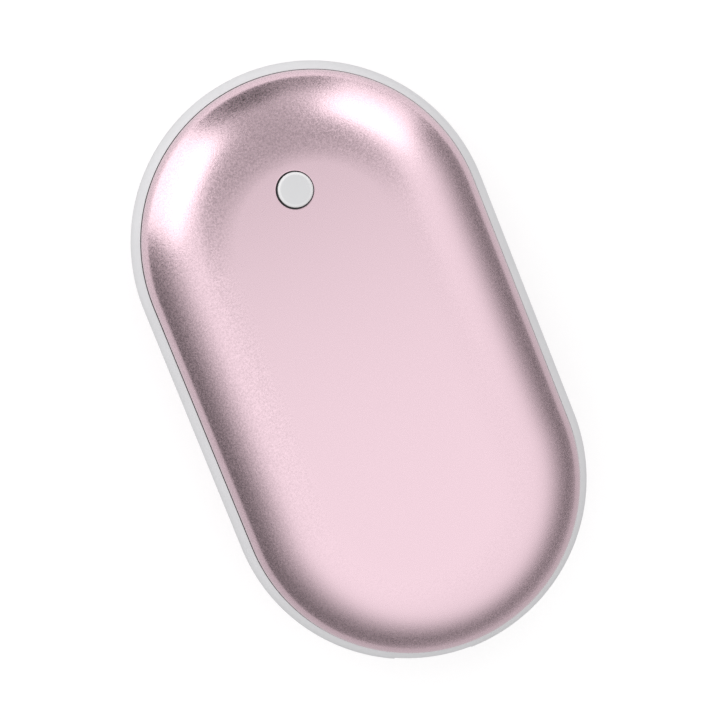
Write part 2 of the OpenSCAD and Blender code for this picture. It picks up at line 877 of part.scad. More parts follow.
// A wire is swept along a smooth curve through points chosen by hand. Its first and last legs are
// straight, so that it ends flat on what it is soldered to.
wire_steps = 4;
wire_sides = 8;
function spline(p, i, t) =
    let (a = p[max(i - 1, 0)], b = p[i], c = p[i + 1], d = p[min(i + 2, len(p) - 1)])
    0.5 * (2 * b + (c - a) * t + (2 * a - 5 * b + 4 * c - d) * t * t
        + (3 * b - a - 3 * c + d) * t * t * t);
function route(p) = [
    p[0],
    for (i = [1:len(p) - 3]) for (k = [0:wire_steps - 1]) spline(p, i, k / wire_steps),
    p[len(p) - 2],
    p[len(p) - 1]];
function unit(v) = v / norm(v);
function heading(q, i) = unit(q[min(i + 1, len(q) - 1)] - q[max(i - 1, 0)]);
// The sideways direction is carried from ring to ring, so the tube doesn't twist
function sideways(q, i) =
    i == 0 ? unit(cross(heading(q, 0), [0.3, 1, 0.2]))
    : let (s = sideways(q, i - 1), h = heading(q, i)) unit(s - (s * h) * h);
function ring(q, i) =
    let (h = heading(q, i), s = sideways(q, i), u = cross(h, s))
    [for (k = [0:wire_sides - 1])
        let (a = 360 * k / wire_sides) q[i] + wire_d / 2 * (cos(a) * s + sin(a) * u)];

module wire(p) {
    q = route(p);
    n = len(q);
    polyhedron(
        points = [for (i = [0:n - 1]) each ring(q, i)],
        faces = concat(
            [[for (k = [0:wire_sides - 1]) k]],
            [[for (k = [wire_sides - 1:-1:0]) (n - 1) * wire_sides + k]],
            [for (i = [0:n - 2]) for (k = [0:wire_sides - 1])
                let (a = i * wire_sides + k, b = i * wire_sides + (k + 1) % wire_sides)
                each [[a, b + wire_sides, b], [a, a + wire_sides, b + wire_sides]]]));
}

// The two battery wires leave the protection board and bend over to the control board
module battery_leads() {
    from_z = cell_board_low + cell_board_size[2];
    from_y = tab_y + cell_board_size[1] / 2;
    for (side = [0, 1]) {
        x = side == 0 ? -12 : -9.5;
        color(side == 0 ? "red" : black) wire([
            [x, from_y, from_z],
            [x, from_y, from_z + 1.2],
            [x, from_y - 0.8, from_z + 3.4],
            [x, (from_y + board_edge) / 2, from_z + 4.4],
            [x, board_edge - 1, board_top + 3.6],
            [x, board_edge - 1.6, board_top + 1.2],
            [x, board_edge - 1.6, board_top]]);
    }
}

// Wires from a heater's film through its slot to the control board
module rear_heater_leads() {
    for (i = [0:2]) {
        x = slot_x - slot_w / 2 + loose + wire_d / 2 + i * lead_pitch;
        color("white") wire([
            [x, slot_y, shell_wall + heater_t],
            [x, slot_y, plate_in],
            [x, slot_y - 1, (plate_in + board_low) / 2],
            [x, board_edge - 1.4, board_low - 1.2],
            [x, board_edge - 1.4, board_low]]);
    }
}

module front_heater_leads() {
    for (i = [0:2]) {
        x = slot_x - slot_w / 2 + loose + wire_d / 2 + i * lead_pitch;
        end_x = heater_joint_at[0] + i * 1.8;
        color("white") wire([
            [x, slot_y, body_t - shell_wall - heater_t],
            [x, slot_y, body_t - plate_in],
            [(x + end_x) / 2, (slot_y + heater_joint_at[1]) / 2, (body_t - plate_in + board_top) / 2 + 0.8],
            [end_x, heater_joint_at[1], board_top + 1.6],
            [end_x, heater_joint_at[1], board_top]]);
    }
}

// The switch's wires run from the button board over the battery to the control board
module switch_leads() {
    over_foam = foam_top + wire_d / 2 + 0.1;
    for (i = [0, 1]) {
        x = -1.2 + i * 2.4;
        color(i == 0 ? "yellow" : "blue") wire([
            [x, button_y - switch_w / 2 - 1.2, button_board_top],
            [x, button_y - switch_w / 2 - 1.2, button_board_top + 0.8],
            [x, button_y - switch_w / 2 - 3.2, button_board_top + 2],
            [x, button_y - 8.5, foam_top + 1.6],
            [x, button_y - 14.5, over_foam],
            [x, battery_start + battery_l * 0.6, over_foam],
            [x, battery_start + battery_l * 0.3, over_foam],
            [x, battery_start + 4, over_foam],
            [x - 4.2, battery_start - 3.5, foam_top - 0.4],
            [x - 4.2, board_edge - 1.4, board_top + 1.4],
            [x - 4.2, board_edge - 1.4, board_top]]);
    }
}

front_shell();
rear_shell();
mid_band();
front_liner();
rear_liner();
front_bond_tape();
rear_bond_tape();
power_button();
button_board();
button_board_screws();
switch_base();
switch_cover();
switch_dome();
switch_plunger();
front_heater();
rear_heater();
front_heat_pad();
rear_heat_pad();
heater_thermistors();
battery_cell();
battery_tabs();
battery_board();
battery_board_chips();
battery_tape();
battery_foam();
control_board();
board_screws();
case_screws();
usb_a_shell();
usb_a_tongue();
usb_a_contacts();
micro_usb_shell();
micro_usb_tongue();
micro_usb_contacts();
indicator_leds();
light_pipe();
boost_inductor();
power_chip();
control_chip();
board_capacitors();
board_resistors();
battery_leads();
front_heater_leads();
rear_heater_leads();
switch_leads();
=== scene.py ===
# %% [markdown]
# # A rechargeable hand warmer
# A hand warmer of this kind is a flat battery with a film heater behind each face. Two thin aluminium
# shells, pressed into a shallow dome, bead blasted and anodised rose, close over plastic liners. A pale
# plastic band runs round the edge between them and carries the ports. One round button switches it.
# The solids come from the CAD model as a fixed frame. Its curved faces are cut into flats for the
# physics, so the shells, the band and the button, which show most, are drawn again here with fine
# curves on the same sizes. The snap dome of the switch, which flattens when the button is pressed, is
# drawn again too, with a mesh of its own. Every other solid keeps its mesh and gets its finish.

# %% Load the imported model
import json
import math

import bmesh
import bpy
from mathutils import Matrix, Vector


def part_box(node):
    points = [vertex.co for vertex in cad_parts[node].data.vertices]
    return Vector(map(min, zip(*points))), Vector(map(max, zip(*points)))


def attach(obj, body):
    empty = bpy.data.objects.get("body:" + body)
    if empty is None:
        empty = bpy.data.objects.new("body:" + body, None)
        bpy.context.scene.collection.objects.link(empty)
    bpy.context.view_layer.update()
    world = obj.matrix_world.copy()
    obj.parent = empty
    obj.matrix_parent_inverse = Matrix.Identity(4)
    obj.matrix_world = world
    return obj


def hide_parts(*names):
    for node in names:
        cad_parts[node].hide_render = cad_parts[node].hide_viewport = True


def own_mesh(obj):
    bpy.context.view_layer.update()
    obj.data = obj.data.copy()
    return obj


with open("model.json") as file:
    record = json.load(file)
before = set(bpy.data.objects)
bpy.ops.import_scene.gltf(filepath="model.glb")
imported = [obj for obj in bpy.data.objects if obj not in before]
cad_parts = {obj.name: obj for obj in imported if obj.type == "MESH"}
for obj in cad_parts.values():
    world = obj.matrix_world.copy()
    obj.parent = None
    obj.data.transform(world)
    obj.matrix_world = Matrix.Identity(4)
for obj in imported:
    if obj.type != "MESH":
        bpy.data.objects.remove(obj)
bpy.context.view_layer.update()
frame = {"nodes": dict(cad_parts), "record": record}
MM = 0.001

# %% [markdown]
# ## The camera
# The photograph looks nearly straight down on the front face, from about three body lengths away, with
# the button end turned up to the left. A camera could be placed by eye, but a fit of the outline, the
# seam and the button gave three turns and a scale, and using those numbers puts every edge where it is
# in the picture. The camera's own axes are the rows of that turn.

# %% Place the camera
IMAGE_PX = 720
PX_PER_MM = 6.177  # at the height of the band
CAMERA_AWAY = 300 * MM
SENSOR = 36.0  # the width of the film in mm
BODY_MIDDLE = Vector((0, 0, 12.5 * MM))
AIM_PX = (1.08, 2.54)  # the body's middle is not quite the picture's
AIM_OFF = [px / PX_PER_MM * MM for px in AIM_PX]
TURN_X, TURN_Y, TURN_Z = (math.radians(a) for a in (4.34, 2.54, 22.09))

turn = (
    Matrix.Rotation(TURN_Z, 3, "Z") @ Matrix.Rotation(TURN_Y, 3, "Y") @ Matrix.Rotation(TURN_X, 3, "X")
).transposed()
camera = bpy.data.objects.new("camera", bpy.data.cameras.new("camera"))
bpy.context.scene.collection.objects.link(camera)
place = BODY_MIDDLE + turn @ Vector((-AIM_OFF[0], AIM_OFF[1], CAMERA_AWAY))
camera.matrix_world = Matrix.Translation(place) @ turn.to_4x4()
camera.data.sensor_width = SENSOR
camera.data.lens = SENSOR * (CAMERA_AWAY / MM) / (IMAGE_PX / PX_PER_MM)
camera.data.clip_start = 10 * MM
bpy.context.scene.camera = camera
print("lens", round(camera.data.lens, 2), "camera in mm", [round(v / MM, 1) for v in place])

# %% [markdown]
# ## The table
# The warmer lies on a white table. A wide flat mesh is enough for that, because nothing near the
# object bends the background. White paper in a studio sends back more light than the warmer's shadow
# takes, so the table adds a steady glow for what the camera, a reflection or clear plastic sees,
# and its own paper colour under that still takes the shadow.

# %% Lay the table
TABLE_HALF = 6.0
TABLE_Z = -0.1 * MM  # a sheet of paper below the rear face, so that the two don't share one plane
TABLE_PAPER = 0.42
TABLE_GLOW = 0.62


def seen_rays(tree):
    """1 for a ray that comes from the camera, from a gloss or through something clear, else 0."""
    path = tree.nodes.new("ShaderNodeLightPath")
    total = path.outputs["Is Camera Ray"]
    for name in ("Is Glossy Ray", "Is Transmission Ray"):
        add = tree.nodes.new("ShaderNodeMath")
        add.operation, add.use_clamp = "ADD", True
        tree.links.new(total, add.inputs[0])
        tree.links.new(path.outputs[name], add.inputs[1])
        total = add.outputs[0]
    return total


def table_paper():
    material = bpy.data.materials.new("table_paper")
    material.use_nodes = True
    tree = material.node_tree
    tree.nodes.clear()
    paper = tree.nodes.new("ShaderNodeBsdfDiffuse")
    paper.inputs["Color"].default_value = (TABLE_PAPER, TABLE_PAPER, TABLE_PAPER, 1)
    glow = tree.nodes.new("ShaderNodeEmission")
    scale = tree.nodes.new("ShaderNodeMath")
    scale.operation = "MULTIPLY"
    scale.inputs[1].default_value = TABLE_GLOW
    tree.links.new(seen_rays(tree), scale.inputs[0])
    tree.links.new(scale.outputs[0], glow.inputs["Strength"])
    both = tree.nodes.new("ShaderNodeAddShader")
    tree.links.new(paper.outputs[0], both.inputs[0])
    tree.links.new(glow.outputs[0], both.inputs[1])
    out = tree.nodes.new("ShaderNodeOutputMaterial")
    tree.links.new(both.outputs[0], out.inputs["Surface"])
    return material


def flat_sheet(name, corners, material):
    """One four-sided sheet through the given corners, in metres."""
    mesh = bpy.data.meshes.new(name)
    mesh.from_pydata(corners, [], [list(range(len(corners)))])
    mesh.materials.append(material)
    sheet = bpy.data.objects.new(name, mesh)
    bpy.context.scene.collection.objects.link(sheet)
    return sheet


table = flat_sheet(
    "table",
    [(x * TABLE_HALF, y * TABLE_HALF, TABLE_Z) for x, y in ((-1, -1), (1, -1), (1, 1), (-1, 1))],
    table_paper(),
)
print("table", 2 * TABLE_HALF, "m wide")

# %% [markdown]
# ## The light
# Metal shows what stands round it, so the light is built like a small white tent. The world is the
# tent. The camera, a reflection and clear plastic see it plain white, and the even light that it
# sends to the plastics is a little dimmer on the side that the lamps don't reach. Two soft boxes low
# on the button side give the bright patches on the two far corners of the dome. A single sky picture
# could give the same light, but lamps and cards can be moved one at a time until each patch and each
# shade lies where it is on the real piece.

# %% Hang the white tent
TENT, TENT_DIM = 1.05, 0.88
DIM_SIDE, DIM_FROM, DIM_TO = (0.8, -0.6, 0), 0.1, 1.0

world = bpy.data.worlds.new("tent")
bpy.context.scene.world = world
world.use_nodes = True
tree = world.node_tree
side = tree.nodes.new("ShaderNodeVectorMath")
side.operation = "DOT_PRODUCT"
side.inputs[1].default_value = DIM_SIDE
tree.links.new(tree.nodes.new("ShaderNodeTexCoord").outputs["Generated"], side.inputs[0])
cloth = tree.nodes.new("ShaderNodeMapRange")
cloth.interpolation_type = "SMOOTHSTEP"
cloth_range = {"From Min": DIM_FROM, "From Max": DIM_TO, "To Min": TENT, "To Max": TENT_DIM}
for name, value in cloth_range.items():
    cloth.inputs[name].default_value = value
tree.links.new(side.outputs["Value"], cloth.inputs["Value"])
tree.nodes["Background"].inputs["Color"].default_value = (1, 1, 1, 1)
white = tree.nodes.new("ShaderNodeMath")
white.operation = "MAXIMUM"
tree.links.new(cloth.outputs["Result"], white.inputs[0])
tree.links.new(seen_rays(tree), white.inputs[1])
tree.links.new(white.outputs[0], tree.nodes["Background"].inputs["Strength"])
bpy.context.scene.view_settings.view_transform = "Standard"
print("tent", TENT, "down to", TENT_DIM, "on the dim side, white where it is seen")


# %% Set the two soft boxes
LAMP_AWAY = 0.6


def towards(azimuth, elevation, distance):
    """A place at an angle from +Y, counted towards +X, and above the table."""
    a, e = math.radians(azimuth), math.radians(elevation)
    return BODY_MIDDLE + distance * Vector(
        (math.sin(a) * math.cos(e), math.cos(a) * math.cos(e), math.sin(e))
    )


def soft_box(name, azimuth, elevation, size, radiance):
    lamp = bpy.data.lights.new(name, "AREA")
    lamp.shape, lamp.size, lamp.size_y = "RECTANGLE", size[0], size[1]
    lamp.energy = radiance * math.pi * size[0] * size[1]
    holder = bpy.data.objects.new(name, lamp)
    bpy.context.scene.collection.objects.link(holder)
    holder.location = towards(azimuth, elevation, LAMP_AWAY)
    holder.rotation_euler = (BODY_MIDDLE - holder.location).to_track_quat("-Z", "Y").to_euler()
    print(name, "power", round(lamp.energy, 3), "W")


soft_box("soft_box_left", azimuth=-42, elevation=20, size=(0.46, 0.48), radiance=1.30)
soft_box("soft_box_right", azimuth=46, elevation=24, size=(0.35, 0.44), radiance=1.0)

# %% [markdown]
# ## The grey cards
# A photographer puts dark and grey cards round shiny metal, because a white tent alone makes it look
# like paper. Four of them shape this picture: the dark hem below the tent draws the dark line just
# inside the dome's edge, a grey sheet on the table close by makes what the edge mirrors dimmer in
# front than behind, a grey one over the button end gives the soft shade there, and a black strip
# stands upright behind that end and draws a short dark streak. They only show in reflections and
# through clear plastic, so the white background and the plain light on the plastics stay.

# %% Weave the cloth of the cards
def card_cloth(name, grey, axis, clear, full):
    """Grey cloth that fades from clear to full between two places along one axis, in metres."""
    material = bpy.data.materials.new(name)
    material.use_nodes = True
    tree = material.node_tree
    tree.nodes.clear()
    where = tree.nodes.new("ShaderNodeTexCoord")
    split = tree.nodes.new("ShaderNodeSeparateXYZ")
    tree.links.new(where.outputs["Object"], split.inputs[0])
    fade = tree.nodes.new("ShaderNodeMapRange")
    fade.interpolation_type = "SMOOTHSTEP"
    fade.inputs["From Min"].default_value = clear
    fade.inputs["From Max"].default_value = full
    tree.links.new(split.outputs[axis], fade.inputs["Value"])
    cloth = tree.nodes.new("ShaderNodeEmission")
    cloth.inputs["Color"].default_value = (grey, grey, grey, 1)
    see_through = tree.nodes.new("ShaderNodeBsdfTransparent")
    mix = tree.nodes.new("ShaderNodeMixShader")
    tree.links.new(fade.outputs[0], mix.inputs[0])
    tree.links.new(see_through.outputs[0], mix.inputs[1])
    tree.links.new(cloth.outputs[0], mix.inputs[2])
    out = tree.nodes.new("ShaderNodeOutputMaterial")
    tree.links.new(mix.outputs[0], out.inputs["Surface"])
    return material


def only_reflected(card):
    card.visible_camera = False
    card.visible_diffuse = False
    card.visible_shadow = False
    print("card", card.name)


# %% Bend a card round the object
CARD_SIDES = 64


def oval(middle, radii, height):
    """Points of an upright or flat card's edge, in metres."""
    turns = (2 * math.pi * i / CARD_SIDES for i in range(CARD_SIDES))
    return [(middle[0] + radii[0] * math.cos(a), middle[1] + radii[1] * math.sin(a), height) for a in turns]


def ribbon(name, one_edge, other_edge, material):
    """A closed ribbon of card between two edges with as many points."""
    n = len(one_edge)
    faces = [(i, (i + 1) % n, n + (i + 1) % n, n + i) for i in range(n)]
    mesh = bpy.data.meshes.new(name)
    mesh.from_pydata(one_edge + other_edge, [], faces)
    mesh.materials.append(material)
    card = bpy.data.objects.new(name, mesh)
    bpy.context.scene.collection.objects.link(card)
    only_reflected(card)


# %% Hang the dark hem
HEM_AT, HEM_RADII = (0.165, -0.04), (0.825, 1.24)
HEM_GREY, HEM_FOOT, HEM_CLEAR, HEM_FULL = 0.09, 0.002, 0.82, 0.10
ribbon(
    "dark_hem",
    oval(HEM_AT, HEM_RADII, HEM_FOOT),
    oval(HEM_AT, HEM_RADII, HEM_CLEAR),
    card_cloth("dark_hem", HEM_GREY, "Z", HEM_CLEAR, HEM_FULL),
)
print("hem radii", HEM_RADII, "m")

# %% Dim the table close by
GROUND_GREY, GROUND_HEIGHT = 0.56, 0.0005
GROUND_CLEAR, GROUND_FULL = 0.26, -0.09
GROUND_HOLE, GROUND_RADII = (0.034, 0.055), (0.6, 0.6)
ribbon(
    "near_ground",
    oval((0, 0), GROUND_HOLE, GROUND_HEIGHT),
    oval((0, 0), GROUND_RADII, GROUND_HEIGHT),
    card_cloth("near_ground", GROUND_GREY, "Y", GROUND_CLEAR, GROUND_FULL),
)
print("ground card", 2 * GROUND_RADII[0], "m wide")

# %% Shade the button end
SHADE_HEIGHT, SHADE_GREY = 0.45, 0.42
SHADE_CLEAR, SHADE_FULL = -0.06, 0.18
SHADE_X, SHADE_Y = (-0.25, 0.27), (-0.1, 0.80)
shade = flat_sheet(
    "far_shade",
    [(SHADE_X[i], SHADE_Y[j], SHADE_HEIGHT) for i, j in ((0, 0), (1, 0), (1, 1), (0, 1))],
    card_cloth("far_shade", SHADE_GREY, "Y", SHADE_CLEAR, SHADE_FULL),
)
only_reflected(shade)
print("shade", SHADE_HEIGHT, "m up")

# %% Stand the black strip
STRIP_GREY, STRIP_Y = 0.01, 0.62
STRIP_X, STRIP_Z = (-0.12, 0.10), (0.04, 0.29)
STRIP_CLEAR, STRIP_FULL = -1.0, 0.0  # both below its foot, so it is full from top to bottom
strip = flat_sheet(
    "black_strip",
    [(STRIP_X[i], STRIP_Y, STRIP_Z[j]) for i, j in ((0, 0), (1, 0), (1, 1), (0, 1))],
    card_cloth("black_strip", STRIP_GREY, "Z", STRIP_CLEAR, STRIP_FULL),
)
only_reflected(strip)
print("strip", STRIP_Y, "m behind the middle")

# %% [markdown]
# ## The pressed shell
# A shell like this is drawn from 0.8 mm sheet in a press: a flat middle, an easy curve outwards, a
# tighter curve down to the trimmed edge. A subdivision surface could round a block into much the same
# look, but it wouldn't keep the sizes. Here the curve is drawn once, as distance from the pill's spine
# and depth below the face, and swept round the pill, so inside and outside stay one wall apart.

# %% Draw the curve of the dome, in mm
END_R, END_Y = 29.2, 20.8
BODY_T, SHELL_H, WALL = 25.0, 8.55, 0.8
RIM_R, FLAT_R, RIM_H = 27.3, 12.2, 0.5
EASE_ANGLE = math.radians(40)

run, rise = RIM_R - FLAT_R, SHELL_H - RIM_H
s, c = math.sin(EASE_ANGLE), math.cos(EASE_ANGLE)
EASE_R = (run * c - rise * (1 - s)) / (s * c - (1 - s) * (1 - c))
EDGE_R = (rise * s - run * (1 - c)) / (s * c - (1 - s) * (1 - c))
EDGE_AT = (FLAT_R + (EASE_R - EDGE_R) * s, EASE_R - (EASE_R - EDGE_R) * c)
print("easy radius", round(EASE_R, 2), "edge radius", round(EDGE_R, 2), "mm")


def dome_curve(inset, ease_steps=30, edge_steps=18):
    """Points (distance from the spine, depth below the face) from the flat to the upright rim."""
    points = []
    ease_r, edge_r = EASE_R - inset, EDGE_R - inset
    for i in range(ease_steps + 1):
        a = EASE_ANGLE * i / ease_steps
        points.append((FLAT_R + ease_r * math.sin(a), EASE_R - ease_r * math.cos(a)))
    for i in range(1, edge_steps + 1):
        a = EASE_ANGLE + (math.pi / 2 - EASE_ANGLE) * i / edge_steps
        points.append((EDGE_AT[0] + edge_r * math.sin(a), EDGE_AT[1] - edge_r * math.cos(a)))
    return points


# %% Sweep a curve round the pill
ARC_STEPS, SIDE_STEPS = 90, 26
print("each ring has", 2 * (ARC_STEPS + SIDE_STEPS), "points")


def round_the_pill(r):
    """Points (x, y) round a pill of half width r, in mm, in order."""
    half = [
        (r * math.cos(math.pi * i / ARC_STEPS), END_Y + r * math.sin(math.pi * i / ARC_STEPS))
        for i in range(ARC_STEPS + 1)
    ]
    half += [(-r, END_Y - 2 * END_Y * i / SIDE_STEPS) for i in range(1, SIDE_STEPS)]
    return half + [(-x, -y) for x, y in half]


def sweep_rings(bm, curve):
    """One ring of vertices for each (r, z) of the curve, joined by quads. Returns the rings."""
    rings = [[bm.verts.new((x, y, z)) for x, y in round_the_pill(r)] for r, z in curve]
    for a, b in zip(rings, rings[1:]):
        join_rings(bm, a, b)
    return rings


def join_rings(bm, a, b):
    n = len(a)
    for i in range(n):
        bm.faces.new((a[i], a[(i + 1) % n], b[(i + 1) % n], b[i]))


def circle(r, steps):
    """Points of a circle of radius r about the origin."""
    turns = [2 * math.pi * i / steps for i in range(steps)]
    return [(r * math.cos(a), r * math.sin(a)) for a in turns]


def circle_ring(bm, centre, r, z, steps=96):
    return [bm.verts.new((centre[0] + u, centre[1] + v, z)) for u, v in circle(r, steps)]


def fill_between(bm, *loops):
    """Flat triangles inside the first closed loop and outside the others."""
    edges = []
    for loop in loops:
        for i, v in enumerate(loop):
            w = loop[(i + 1) % len(loop)]
            edges.append(bm.edges.get((v, w)) or bm.edges.new((v, w)))
    bmesh.ops.triangle_fill(bm, use_beauty=True, edges=edges)


# %% Turn a drawing in mm into a piece of the object
SHARP = math.radians(32)


def make_piece(name, bm, material, body, nodes, sharp=SHARP):
    """Cleans the mesh, brings it to metres, hangs it under its body and hides the solids it stands for."""
    bmesh.ops.recalc_face_normals(bm, faces=bm.faces)
    bmesh.ops.scale(bm, vec=(MM, MM, MM), verts=bm.verts)
    mesh = bpy.data.meshes.new(name)
    bm.to_mesh(mesh)
    bm.free()
    mesh.shade_smooth()
    mesh.set_sharp_from_angle(angle=sharp)
    mesh.materials.append(material)
    piece = bpy.data.objects.new(name, mesh)
    bpy.context.scene.collection.objects.link(piece)
    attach(piece, body)
    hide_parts(*nodes)
    print(name, len(mesh.polygons), "faces")
    return piece


print("edges sharper than", round(math.degrees(SHARP)), "degrees stay sharp")

# %% [markdown]
# ## Anodised, bead-blasted aluminium
# Glass beads leave thousands of tiny dents a quarter of a millimetre across, so the metal glints
# softly instead of mirroring. The dyed oxide layer keeps the metal's own sheen, so the rose colour
# belongs to the reflection, and a thin clear coat stands for its sealed top. It could be one metallic
# colour, but then the grain would be lost: here colour and gloss vary with the blasting, plus a bump
# of the dents' size. The grain is strong where the light makes it glint and fades on the flat and
# towards +X and -Y, so its colour speckle is partly grain and partly painted glints. The trimmed edge
# is polished and brighter, and the wall of the punched hole is painted dark as shade.

# %% Mix a finish from noise
SHADER = "ShaderNodeBsdfPrincipled"


class Finish:
    """A material in the making: object coordinates, noise, mixing and the one shader."""

    def __init__(self, name):
        self.material = bpy.data.materials.new(name)
        self.material.use_nodes = True
        self.tree = self.material.node_tree
        self.shader = next(n for n in self.tree.nodes if n.bl_idname == SHADER)
        self.where = self.tree.nodes.new("ShaderNodeTexCoord").outputs["Object"]
        self.height = None
        print("finish", name)

    def set(self, **values):
        for name, value in values.items():
            self.shader.inputs[name.replace("_", " ")].default_value = value
        return self

    def noise(self, grain_mm, detail=2.0, rough=0.55, stretch=(1, 1, 1)):
        """Noise from 0 to 1 whose features are about grain_mm across."""
        where = self.where
        if stretch != (1, 1, 1):
            mapping = self.tree.nodes.new("ShaderNodeMapping")
            mapping.inputs["Scale"].default_value = stretch
            self.tree.links.new(where, mapping.inputs["Vector"])
            where = mapping.outputs[0]
        node = self.tree.nodes.new("ShaderNodeTexNoise")
        node.inputs["Scale"].default_value = 1 / (grain_mm * MM)
        node.inputs["Detail"].default_value = detail
        node.inputs["Roughness"].default_value = rough
        self.tree.links.new(where, node.inputs["Vector"])
        return node.outputs["Fac"]

    def ranged(self, value, low, high, to_low=0.0, to_high=1.0, smooth=False):
        node = self.tree.nodes.new("ShaderNodeMapRange")
        if smooth:
            node.interpolation_type = "SMOOTHSTEP"
        limits = {"From Min": low, "From Max": high, "To Min": to_low, "To Max": to_high}
        for socket, number in limits.items():
            node.inputs[socket].default_value = number
        self.tree.links.new(value, node.inputs["Value"])
        return node.outputs["Result"]

    def along(self, axis):
        """The place along one axis, in metres."""
        node = self.tree.nodes.new("ShaderNodeSeparateXYZ")
        self.tree.links.new(self.where, node.inputs[0])
        return node.outputs[axis]

    def away(self, side, length):
        """The length of the slanting side of two legs."""
        squares = [self.math("MULTIPLY", leg, leg) for leg in (side, length)]
        return self.math("SQRT", self.math("ADD", *squares))

    def from_axis(self, x_mm, y_mm):
        """The distance from an upright axis, in metres."""
        side = self.math("SUBTRACT", self.along("X"), x_mm * MM)
        return self.away(side, self.math("SUBTRACT", self.along("Y"), y_mm * MM))

    def from_spine(self):
        """The distance from the pill's spine, in metres."""
        past_end = self.math("SUBTRACT", self.math("ABSOLUTE", self.along("Y")), END_Y * MM)
        return self.away(self.along("X"), self.math("MAXIMUM", past_end, 0.0))

    def math(self, how, a, b=None):
        node = self.tree.nodes.new("ShaderNodeMath")
        node.operation = how
        for socket, value in zip(node.inputs, (a, b)):
            if isinstance(value, (int, float)):
                socket.default_value = value
            elif value is not None:
                self.tree.links.new(value, socket)
        return node.outputs[0]

    def colours(self, value, low, high):
        """Mixes two linear colours by a value from 0 to 1."""
        node = self.tree.nodes.new("ShaderNodeMix")
        node.data_type = "RGBA"
        node.inputs["A"].default_value = (*low, 1)
        node.inputs["B"].default_value = (*high, 1)
        self.tree.links.new(value, node.inputs["Factor"])
        return node.outputs["Result"]

    def over(self, mask, below, above):
        """Lays one colour over another colour socket where the mask is 1."""
        node = self.tree.nodes.new("ShaderNodeMix")
        node.data_type = "RGBA"
        self.tree.links.new(below, node.inputs["A"])
        node.inputs["B"].default_value = (*above, 1)
        self.tree.links.new(mask, node.inputs["Factor"])
        return node.outputs["Result"]

    def colour(self, socket):
        self.tree.links.new(socket, self.shader.inputs["Base Color"])
        return self

    def gloss(self, socket):
        self.tree.links.new(socket, self.shader.inputs["Roughness"])
        return self

    def dents(self, value, depth_mm, strength=1.0):
        """Adds a bump of the given depth on top of the bumps so far."""
        node = self.tree.nodes.new("ShaderNodeBump")
        node.inputs["Distance"].default_value = depth_mm * MM
        if isinstance(strength, float):
            node.inputs["Strength"].default_value = strength
        else:
            self.tree.links.new(strength, node.inputs["Strength"])
        self.tree.links.new(value, node.inputs["Height"])
        if self.height:
            self.tree.links.new(self.height, node.inputs["Normal"])
        self.height = node.outputs["Normal"]
        self.tree.links.new(self.height, self.shader.inputs["Normal"])
        return self


# %% Anodise the aluminium
def shaded(colour, factor):
    return tuple(min(1.0, v * factor) for v in colour)


# the last colour is painted shade for the wall of the punched hole
ROSE, POLISHED, HOLE_WALL_SHADE = (0.88, 0.655, 0.73), (0.90, 0.74, 0.78), (0.10, 0.08, 0.085)
BLAST_MM = 0.28
GRAIN_FADE, GRAIN_FADE_LEFT = (11.5, 16.5), 0.04  # mm from the spine, and the share of the grain that is left
GRAIN_SIDE, GRAIN_SIDE_LEFT = (-8, 16), 0.3  # mm from the middle, counted towards -X and +Y, and the same share
GRAIN_SIDE_X, GRAIN_SIDE_Y = 0.8, 0.6  # the grain fades towards +X and -Y
HOLE_AT, HOLE_R = (-0.1, 29.5), 2.95


def anodised_aluminium():
    f = Finish("anodised_aluminium").set(Metallic=1.0, Coat_Weight=0.2, Coat_Roughness=0.3)
    blast = f.noise(BLAST_MM, detail=1.0)
    curve = f.ranged(f.from_spine(), GRAIN_FADE[0] * MM, GRAIN_FADE[1] * MM, GRAIN_FADE_LEFT, 1.0, smooth=True)
    up, side = f.math("MULTIPLY", f.along("Y"), GRAIN_SIDE_Y), f.math("MULTIPLY", f.along("X"), GRAIN_SIDE_X)
    free = f.ranged(
        f.math("SUBTRACT", up, side), GRAIN_SIDE[0] * MM, GRAIN_SIDE[1] * MM, GRAIN_SIDE_LEFT, 1.0, smooth=True
    )
    kept = f.math("MULTIPLY", curve, free)
    # the colour speckle is grain, and where it is strong it is also painted glints and dark specks
    speck = f.math("ADD", f.math("MULTIPLY", f.ranged(blast, 0.3, 0.7, -0.5, 0.5), kept), 0.5)
    body = f.colours(speck, shaded(ROSE, 0.87), shaded(ROSE, 1.12))
    low = f.math("ABSOLUTE", f.math("SUBTRACT", f.along("Z"), BODY_MIDDLE.z))
    trim = BODY_T / 2 - SHELL_H
    trimmed = f.ranged(low, (trim + 0.02) * MM, (trim + 0.3) * MM, 0.4, 0.0, smooth=True)
    # painted shade: the wall of the punched hole is laid over dark
    punched = f.ranged(f.from_axis(*HOLE_AT), (HOLE_R + 0.01) * MM, (HOLE_R + 0.04) * MM, 0.8, 0.0)
    f.colour(f.over(punched, f.over(trimmed, body, POLISHED), HOLE_WALL_SHADE))
    f.gloss(f.ranged(blast, 0.25, 0.75, 0.24, 0.33))
    return f.dents(blast, 0.010, kept).material


rose_metal = anodised_aluminium()

# %% [markdown]
# ## The two shells
# Both shells come from one press tool. The front one is then punched for the button, and the punched
# edge is lightly rounded so that it doesn't scratch a thumb. A boolean could cut that hole, but the
# round edge is easier to turn as a few rings of its own and to join to the flat with triangles.

# %% Press the shells
EDGE_ROUND = 0.12


def quarter(centre, r, start, steps=5):
    """Points of a quarter circle about centre, from the start angle in degrees, in drawing axes."""
    turns = [math.radians(start + 90 * i / steps) for i in range(steps + 1)]
    return [(centre[0] + r * math.cos(a), centre[1] + r * math.sin(a)) for a in turns]


def shell_curve():
    """The shell's section from the outer flat, round the trimmed rim, to the inner flat."""
    outer, inner = dome_curve(0), dome_curve(WALL)
    corner = (RIM_R - EDGE_ROUND, SHELL_H - EDGE_ROUND)
    return outer + quarter(corner, EDGE_ROUND, 0) + [(RIM_R - WALL, SHELL_H)] + inner[::-1]


